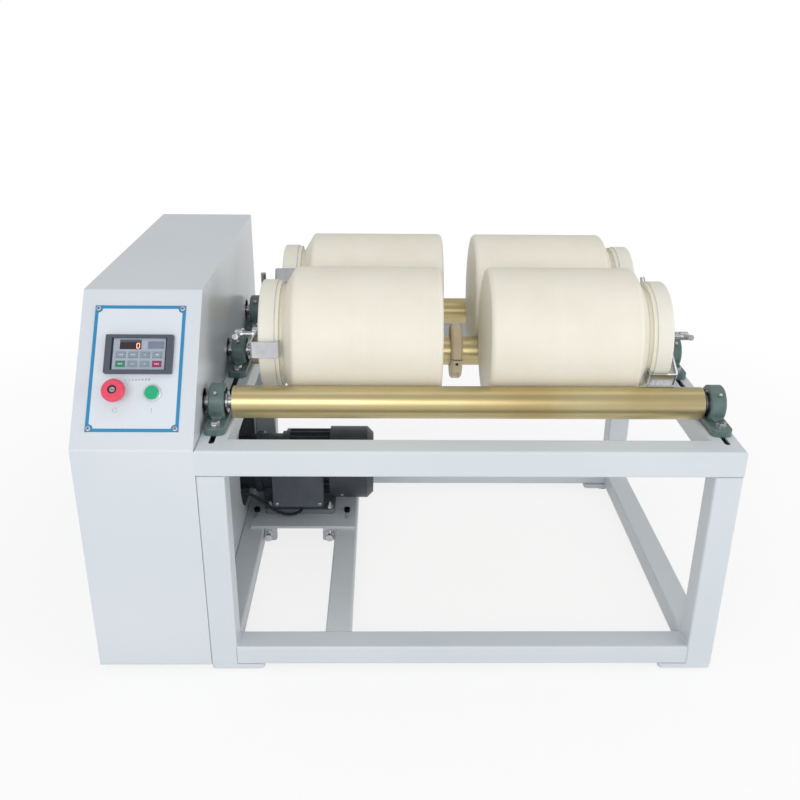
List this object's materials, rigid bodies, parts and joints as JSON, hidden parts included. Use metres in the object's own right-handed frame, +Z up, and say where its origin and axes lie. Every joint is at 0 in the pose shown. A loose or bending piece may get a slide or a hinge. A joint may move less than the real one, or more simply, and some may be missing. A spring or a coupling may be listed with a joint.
{
  "type": "jar mill",
  "caption": "Bench jar mill: ceramic jars with clamped lids turning on driven brass rollers, on a tube frame with a motor below and a control cabinet at one end.",
  "frame": {"origin": "on the floor below the middle of the whole machine", "axes": "+X along the rollers away from the cabinet, +Y from the front to the back, +Z up"},
  "size_m": [1.1744, 0.83, 0.7197],
  "materials": {
    "frame_paint": "light grey powder coat",
    "cabinet_paint": "light blue-grey powder coat",
    "rubber_black": "matte",
    "zinc_steel": "zinc plated",
    "faceplate_print": "light grey with a blue border",
    "panel_black": "fine grained",
    "display_smoke": "smoked",
    "bezel_light": "moulded",
    "stem_black": "moulded",
    "stop_red": "moulded",
    "start_green": "moulded",
    "key_grey": "moulded",
    "key_green": "moulded",
    "key_red": "moulded",
    "block_green": "painted dark grey-green",
    "brass_sleeve": "turned",
    "shaft_steel": "ground",
    "ring_beige": "turned",
    "chain_steel": "oiled",
    "motor_grey": "painted dark grey",
    "fan_plastic": "moulded",
    "lead_black": "matte",
    "jar_ceramic": "fired alumina, unglazed",
    "clamp_stainless": "bright rolled",
    "plate_paint": "grey powder coat"
  },
  "bodies": {
    "machine": {"deck_rails": "frame_paint", "leg_frame": "frame_paint", "foot_pads": "rubber_black", "cabinet_wrap": "cabinet_paint", "cabinet_wall": "cabinet_paint", "cabinet_cover": "cabinet_paint", "cabinet_screws": "zinc_steel", "faceplate": "faceplate_print", "keypad_bezel": "panel_black", "display_window": "display_smoke", "button_bezels": "bezel_light", "pillow_blocks": "block_green", "block_bolts": "zinc_steel", "grease_nipples": "zinc_steel", "chains": "chain_steel", "gearbox": "motor_grey", "motor_body": "motor_grey", "terminal_box": "motor_grey", "slide_plate": "plate_paint", "motor_bolts": "zinc_steel", "motor_lead": "lead_black"},
    "front_roller": {"roller_front": "brass_sleeve", "shaft_front": "shaft_steel", "sprocket_front": "chain_steel"},
    "middle_roller": {"roller_middle": "brass_sleeve", "shaft_middle": "shaft_steel", "sprockets_middle": "chain_steel"},
    "rear_roller": {"roller_rear": "brass_sleeve", "shaft_rear": "shaft_steel", "sprocket_rear": "chain_steel"},
    "stop_ring": {"stop_ring": "ring_beige"},
    "motor_output": {"motor_sprocket": "chain_steel"},
    "fan": {"motor_fan": "fan_plastic"},
    "stop_plunger": {"estop_stem": "stem_black"},
    "stop_head": {"estop_button": "stop_red"},
    "start_button": {"start_button": "start_green"},
    "key_program": {"key_program": "key_grey"},
    "key_function": {"key_function": "key_grey"},
    "key_up": {"key_up": "key_grey"},
    "key_enter": {"key_enter": "key_grey"},
    "key_run": {"key_run": "key_green"},
    "key_jog": {"key_jog": "key_grey"},
    "key_down": {"key_down": "key_grey"},
    "key_stop": {"key_stop": "key_red"},
    "jar_front_left": {"jar_front_left": "jar_ceramic", "yoke_front_left": "clamp_stainless"},
    "lid_front_left": {"lid_front_left": "jar_ceramic"},
    "screw_front_left": {"clamp_screw_front_left": "clamp_stainless"},
    "jar_rear_left": {"jar_rear_left": "jar_ceramic", "yoke_rear_left": "clamp_stainless"},
    "lid_rear_left": {"lid_rear_left": "jar_ceramic"},
    "screw_rear_left": {"clamp_screw_rear_left": "clamp_stainless"},
    "jar_front_right": {"jar_front_right": "jar_ceramic", "yoke_front_right": "clamp_stainless"},
    "lid_front_right": {"lid_front_right": "jar_ceramic"},
    "screw_front_right": {"clamp_screw_front_right": "clamp_stainless"},
    "jar_rear_right": {"jar_rear_right": "jar_ceramic", "yoke_rear_right": "clamp_stainless"},
    "lid_rear_right": {"lid_rear_right": "jar_ceramic"},
    "screw_rear_right": {"clamp_screw_rear_right": "clamp_stainless"}
  },
  "joints": [
    {"name": "front_roller_spin", "type": "hinge", "parent": "machine", "child": "front_roller", "pos_m": [0.10925, -0.285, 0.5065], "axis": [1, 0, 0], "continuous": true},
    {"name": "middle_roller_spin", "type": "hinge", "parent": "machine", "child": "middle_roller", "pos_m": [0.10925, -0.011, 0.5065], "axis": [1, 0, 0], "continuous": true},
    {"name": "rear_roller_spin", "type": "hinge", "parent": "machine", "child": "rear_roller", "pos_m": [0.10925, 0.263, 0.5065], "axis": [1, 0, 0], "continuous": true},
    {"name": "motor_output_spin", "type": "hinge", "parent": "machine", "child": "motor_output", "pos_m": [-0.43275, 0.15, 0.16], "axis": [1, 0, 0], "continuous": true},
    {"name": "fan_spin", "type": "hinge", "parent": "machine", "child": "fan", "pos_m": [-0.13775, 0.15, 0.16], "axis": [1, 0, 0], "continuous": true},
    {"name": "stop_ring_slide", "type": "slide", "parent": "middle_roller", "child": "stop_ring", "axis": [1, 0, 0], "range_m": [-0.01, 0.027]},
    {"name": "jar_front_left_spin", "type": "hinge", "parent": "machine", "child": "jar_front_left", "pos_m": [-0.09775, -0.148, 0.58973], "axis": [1, 0, 0], "continuous": true},
    {"name": "lid_front_left_lift", "type": "slide", "parent": "jar_front_left", "child": "lid_front_left", "axis": [-1, 0, 0], "range_m": [0, 0.007]},
    {"name": "screw_front_left_turn", "type": "hinge", "parent": "lid_front_left", "child": "screw_front_left", "pos_m": [-0.29775, -0.148, 0.58973], "axis": [-1, 0, 0], "range_deg": [0, 1681]},
    {"name": "jar_rear_left_spin", "type": "hinge", "parent": "machine", "child": "jar_rear_left", "pos_m": [-0.08175, 0.126, 0.58973], "axis": [1, 0, 0], "continuous": true},
    {"name": "lid_rear_left_lift", "type": "slide", "parent": "jar_rear_left", "child": "lid_rear_left", "axis": [-1, 0, 0], "range_m": [0, 0.007]},
    {"name": "screw_rear_left_turn", "type": "hinge", "parent": "lid_rear_left", "child": "screw_rear_left", "pos_m": [-0.28175, 0.126, 0.58973], "axis": [-1, 0, 0], "range_deg": [0, 1681]},
    {"name": "jar_front_right_spin", "type": "hinge", "parent": "machine", "child": "jar_front_right", "pos_m": [0.30925, -0.148, 0.58973], "axis": [1, 0, 0], "continuous": true},
    {"name": "lid_front_right_lift", "type": "slide", "parent": "jar_front_right", "child": "lid_front_right", "axis": [1, 0, 0], "range_m": [0, 0.007]},
    {"name": "screw_front_right_turn", "type": "hinge", "parent": "lid_front_right", "child": "screw_front_right", "pos_m": [0.50925, -0.148, 0.58973], "axis": [1, 0, 0], "range_deg": [0, 1681]},
    {"name": "jar_rear_right_spin", "type": "hinge", "parent": "machine", "child": "jar_rear_right", "pos_m": [0.30525, 0.126, 0.58973], "axis": [1, 0, 0], "continuous": true},
    {"name": "lid_rear_right_lift", "type": "slide", "parent": "jar_rear_right", "child": "lid_rear_right", "axis": [1, 0, 0], "range_m": [0, 0.007]},
    {"name": "screw_rear_right_turn", "type": "hinge", "parent": "lid_rear_right", "child": "screw_rear_right", "pos_m": [0.50525, 0.126, 0.58973], "axis": [1, 0, 0], "range_deg": [0, 1681]},
    {"name": "stop_press", "type": "slide", "parent": "machine", "child": "stop_plunger", "axis": [0, 0.7819, -0.6235], "range_m": [0, 0.005]},
    {"name": "stop_twist", "type": "hinge", "parent": "stop_plunger", "child": "stop_head", "pos_m": [-0.51125, -0.35141, 0.54975], "axis": [0, 0.7819, -0.6235], "range_deg": [0, 45]},
    {"name": "start_press", "type": "slide", "parent": "machine", "child": "start_button", "axis": [0, 0.7819, -0.6235], "range_m": [0, 0.003], "stiffness_N_per_m": 400, "springref_m": -0.002},
    {"name": "key_program_press", "type": "slide", "parent": "machine", "child": "key_program", "axis": [0, 0.7819, -0.6235], "range_m": [0, 0.0008], "stiffness_N_per_m": 800, "springref_m": -0.0005},
    {"name": "key_function_press", "type": "slide", "parent": "machine", "child": "key_function", "axis": [0, 0.7819, -0.6235], "range_m": [0, 0.0008], "stiffness_N_per_m": 800, "springref_m": -0.0005},
    {"name": "key_up_press", "type": "slide", "parent": "machine", "child": "key_up", "axis": [0, 0.7819, -0.6235], "range_m": [0, 0.0008], "stiffness_N_per_m": 800, "springref_m": -0.0005},
    {"name": "key_enter_press", "type": "slide", "parent": "machine", "child": "key_enter", "axis": [0, 0.7819, -0.6235], "range_m": [0, 0.0008], "stiffness_N_per_m": 800, "springref_m": -0.0005},
    {"name": "key_run_press", "type": "slide", "parent": "machine", "child": "key_run", "axis": [0, 0.7819, -0.6235], "range_m": [0, 0.0008], "stiffness_N_per_m": 800, "springref_m": -0.0005},
    {"name": "key_jog_press", "type": "slide", "parent": "machine", "child": "key_jog", "axis": [0, 0.7819, -0.6235], "range_m": [0, 0.0008], "stiffness_N_per_m": 800, "springref_m": -0.0005},
    {"name": "key_down_press", "type": "slide", "parent": "machine", "child": "key_down", "axis": [0, 0.7819, -0.6235], "range_m": [0, 0.0008], "stiffness_N_per_m": 800, "springref_m": -0.0005},
    {"name": "key_stop_press", "type": "slide", "parent": "machine", "child": "key_stop", "axis": [0, 0.7819, -0.6235], "range_m": [0, 0.0008], "stiffness_N_per_m": 800, "springref_m": -0.0005}
  ],
  "couplings": [
    {"joint": "front_roller_spin", "follows": "middle_roller_spin", "ratio": 1},
    {"joint": "rear_roller_spin", "follows": "middle_roller_spin", "ratio": 1},
    {"joint": "motor_output_spin", "follows": "middle_roller_spin", "ratio": 1},
    {"joint": "fan_spin", "follows": "middle_roller_spin", "ratio": 5},
    {"joint": "jar_front_left_spin", "follows": "middle_roller_spin", "ratio": -0.23077},
    {"joint": "screw_front_left_turn", "follows": "lid_front_left_lift", "rad_per_m": 4188.8},
    {"joint": "jar_rear_left_spin", "follows": "middle_roller_spin", "ratio": -0.23077},
    {"joint": "screw_rear_left_turn", "follows": "lid_rear_left_lift", "rad_per_m": 4188.8},
    {"joint": "jar_front_right_spin", "follows": "middle_roller_spin", "ratio": -0.23077},
    {"joint": "screw_front_right_turn", "follows": "lid_front_right_lift", "rad_per_m": 4188.8},
    {"joint": "jar_rear_right_spin", "follows": "middle_roller_spin", "ratio": -0.23077},
    {"joint": "screw_rear_right_turn", "follows": "lid_rear_right_lift", "rad_per_m": 4188.8}
  ]
}
